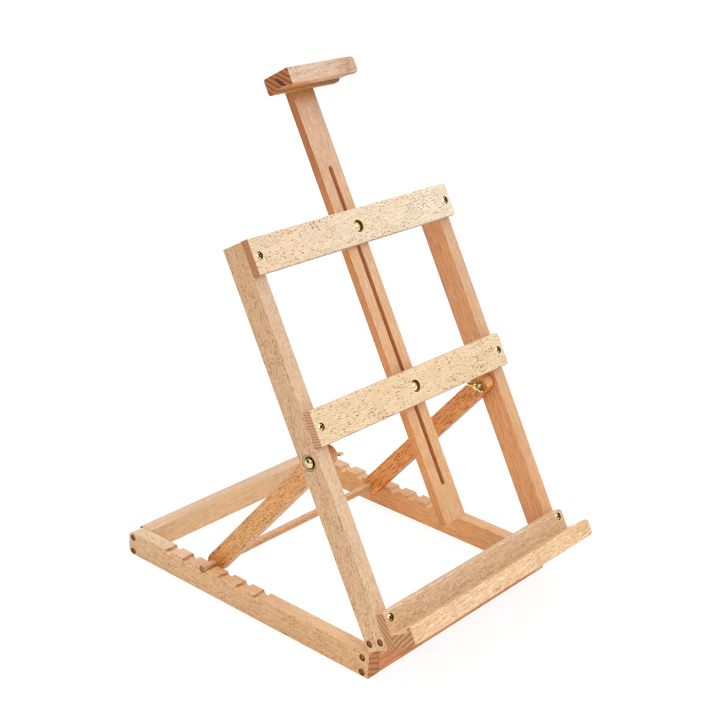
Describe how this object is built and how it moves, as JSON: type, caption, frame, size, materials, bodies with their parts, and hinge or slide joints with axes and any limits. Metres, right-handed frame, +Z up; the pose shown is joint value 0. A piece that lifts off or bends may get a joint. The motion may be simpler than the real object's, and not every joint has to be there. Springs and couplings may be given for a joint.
{
  "type": "tabletop easel",
  "caption": "Tabletop wooden artist easel: hinged H-frame with crossbars and canvas tray, sliding slotted mast with top holder, and rear legs on a dowel set in base notches.",
  "frame": {"origin": "on the table under the object, midway between its sides and midway between the tray's front edge and the base's rear rail", "axes": "+Z up, +Y towards the back, +X to the right as seen from the front; the canvas faces -Y"},
  "size_m": [0.336, 0.446, 0.6014],
  "materials": {
    "beech": "clear satin lacquer over tan beech",
    "beech_pale": "clear satin lacquer over pale beech",
    "beech_warm": "clear satin lacquer over orange-brown beech",
    "peg_wood": "dark end grain",
    "yellow_zinc": "yellow-passivated zinc-plated steel",
    "steel": "bright zinc-plated steel"
  },
  "bodies": {
    "base": {"base_rail_left": "beech", "base_rail_right": "beech", "base_rail_front": "beech", "base_rail_rear": "beech", "base_pegs": "peg_wood", "hinge_base_leaves": "yellow_zinc", "hinge_pins": "steel", "hinge_base_screws": "yellow_zinc"},
    "frame": {"post_left": "beech", "post_right": "beech", "frame_bottom_rail": "beech", "post_pegs": "peg_wood", "upper_bar": "beech_pale", "lower_bar": "beech_pale", "tray": "beech_pale", "wood_screws": "yellow_zinc", "hinge_frame_leaves": "yellow_zinc", "hinge_frame_screws": "yellow_zinc", "clamp_bolts": "yellow_zinc", "pivot_bolts": "yellow_zinc", "washers": "steel"},
    "mast": {"mast": "beech_pale", "top_holder": "beech_pale", "holder_screws": "yellow_zinc"},
    "legs": {"leg_left": "beech_warm", "leg_right": "beech_warm", "ratchet_dowel": "beech"},
    "pivot_nut_left": {"pivot_nut_left": "yellow_zinc"},
    "pivot_nut_right": {"pivot_nut_right": "yellow_zinc"},
    "clamp_nut_upper": {"clamp_nut_upper": "yellow_zinc"},
    "clamp_nut_lower": {"clamp_nut_lower": "yellow_zinc"}
  },
  "joints": [
    {"name": "frame_tilt", "type": "hinge", "parent": "base", "child": "frame", "pos_m": [0, -0.16154, 0.0306], "axis": [1, 0, 0], "range_deg": [-60.4, 0]},
    {"name": "legs_swing", "type": "hinge", "parent": "frame", "child": "legs", "pos_m": [0, -0.0682, 0.22366], "axis": [1, 0, 0], "range_deg": [0, 110.72]},
    {"name": "mast_slide", "type": "slide", "parent": "frame", "child": "mast", "axis": [0, 0.4923, 0.8704], "range_m": [-0.068, 0.112]},
    {"name": "pivot_nut_left_spin", "type": "hinge", "parent": "frame", "child": "pivot_nut_left", "pos_m": [-0.1313, -0.0682, 0.22366], "axis": [1, 0, 0], "continuous": true},
    {"name": "pivot_nut_right_spin", "type": "hinge", "parent": "frame", "child": "pivot_nut_right", "pos_m": [0.1313, -0.0682, 0.22366], "axis": [1, 0, 0], "continuous": true},
    {"name": "clamp_nut_upper_spin", "type": "hinge", "parent": "frame", "child": "clamp_nut_upper", "pos_m": [0, 0.03686, 0.41814], "axis": [0, -0.8704, 0.4923], "continuous": true},
    {"name": "clamp_nut_lower_spin", "type": "hinge", "parent": "frame", "child": "clamp_nut_lower", "pos_m": [0, -0.05594, 0.25407], "axis": [0, -0.8704, 0.4923], "continuous": true}
  ],
  "couplings": [
    {"joint": "legs_swing", "follows": "frame_tilt", "ratio": -1.8323}
  ]
}
